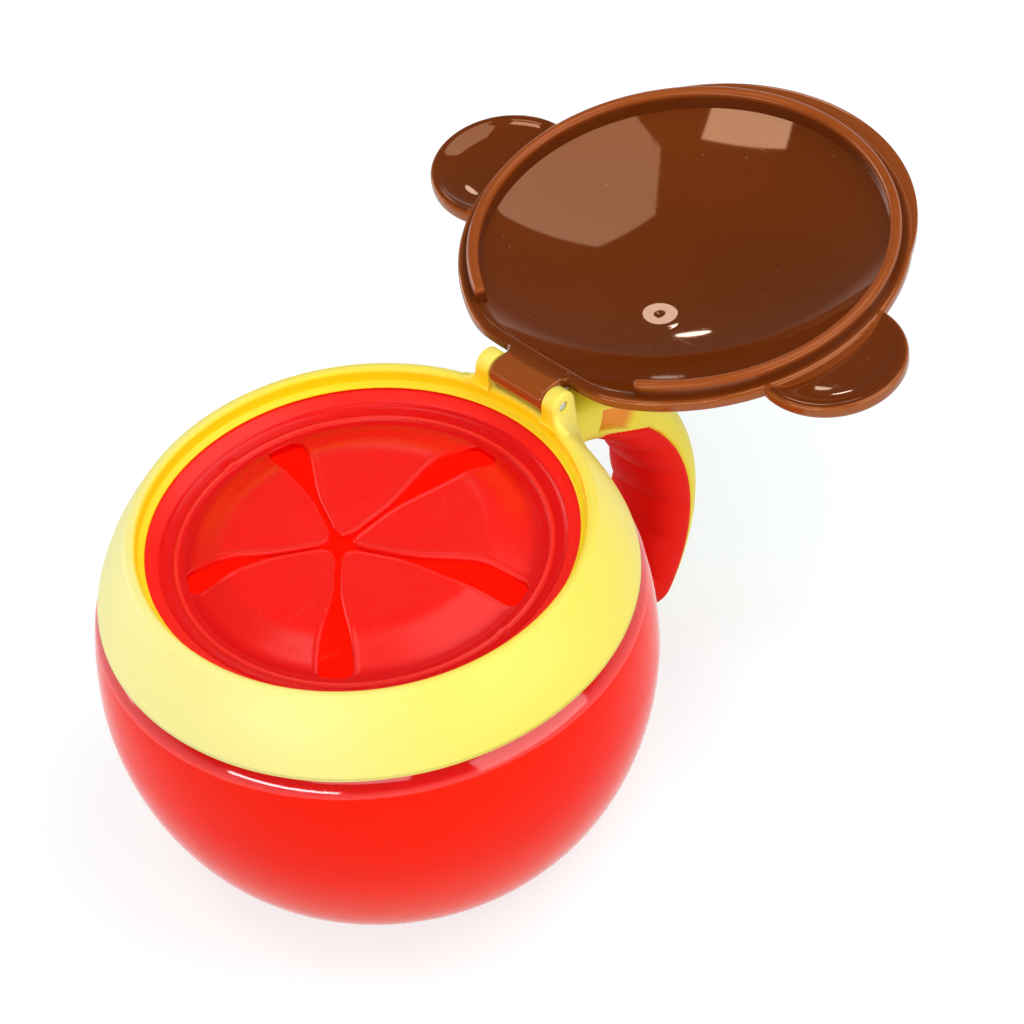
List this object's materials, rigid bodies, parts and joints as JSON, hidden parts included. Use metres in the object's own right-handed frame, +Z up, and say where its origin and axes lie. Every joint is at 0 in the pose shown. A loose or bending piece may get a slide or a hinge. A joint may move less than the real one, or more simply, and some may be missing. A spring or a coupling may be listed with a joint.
{
  "type": "toddler snack container",
  "caption": "Round toddler snack container with a translucent red bowl, yellow screw collar, side handle, hinged brown lid and a soft red slotted insert",
  "frame": {"origin": "centre of the flat base", "axes": "+Z up; +Y from the cup's axis towards the hinge and the handle; +X to the right when seen from the front, facing +Y"},
  "size_m": [0.1076, 0.1777, 0.0772],
  "materials": {
    "bowl_plastic": "translucent polished red plastic",
    "collar_plastic": "satin moulded yellow plastic",
    "grip_rubber": "matte soft over-moulded red rubber",
    "pin_steel": "drawn steel wire",
    "lid_plastic": "glossy brown plastic",
    "insert_rubber": "satin soft red rubber"
  },
  "bodies": {
    "bowl": {"bowl": "bowl_plastic"},
    "insert": {"flap_ring": "insert_rubber"},
    "collar": {"collar": "collar_plastic", "handle_grip": "grip_rubber", "hinge_pin": "pin_steel"},
    "lid": {"lid": "lid_plastic"},
    "flap_1": {"flap_1": "insert_rubber"},
    "flap_2": {"flap_2": "insert_rubber"},
    "flap_3": {"flap_3": "insert_rubber"},
    "flap_4": {"flap_4": "insert_rubber"},
    "flap_5": {"flap_5": "insert_rubber"}
  },
  "joints": [
    {"name": "collar_lift", "type": "slide", "parent": "bowl", "child": "insert", "axis": [0, 0, 1], "range_m": [0, 0.0092]},
    {"name": "collar_turn", "type": "hinge", "parent": "insert", "child": "collar", "pos_m": [0, 0, 0.06], "axis": [0, 0, 1], "range_deg": [0, 270]},
    {"name": "lid_hinge", "type": "hinge", "parent": "collar", "child": "lid", "pos_m": [0, 0.042, 0.0703], "axis": [1, 0, 0], "range_deg": [0, 178.85]},
    {"name": "flap_1_bend", "type": "hinge", "parent": "insert", "child": "flap_1", "pos_m": [-0.01593, 0.02192, 0.0602], "axis": [0.809, 0.5878, 0], "range_deg": [0, 55], "stiffness_Nm_per_rad": 0.02},
    {"name": "flap_2_bend", "type": "hinge", "parent": "insert", "child": "flap_2", "pos_m": [-0.02577, -0.00837, 0.0602], "axis": [-0.309, 0.9511, 0], "range_deg": [0, 55], "stiffness_Nm_per_rad": 0.02},
    {"name": "flap_3_bend", "type": "hinge", "parent": "insert", "child": "flap_3", "pos_m": [0, -0.0271, 0.0602], "axis": [-1, 0, 0], "range_deg": [0, 55], "stiffness_Nm_per_rad": 0.02},
    {"name": "flap_4_bend", "type": "hinge", "parent": "insert", "child": "flap_4", "pos_m": [0.02577, -0.00837, 0.0602], "axis": [-0.309, -0.9511, 0], "range_deg": [0, 55], "stiffness_Nm_per_rad": 0.02},
    {"name": "flap_5_bend", "type": "hinge", "parent": "insert", "child": "flap_5", "pos_m": [0.01593, 0.02192, 0.0602], "axis": [0.809, -0.5878, 0], "range_deg": [0, 55], "stiffness_Nm_per_rad": 0.02}
  ],
  "couplings": [
    {"joint": "collar_lift", "follows": "collar_turn", "m_per_rad": 0.0019099}
  ]
}
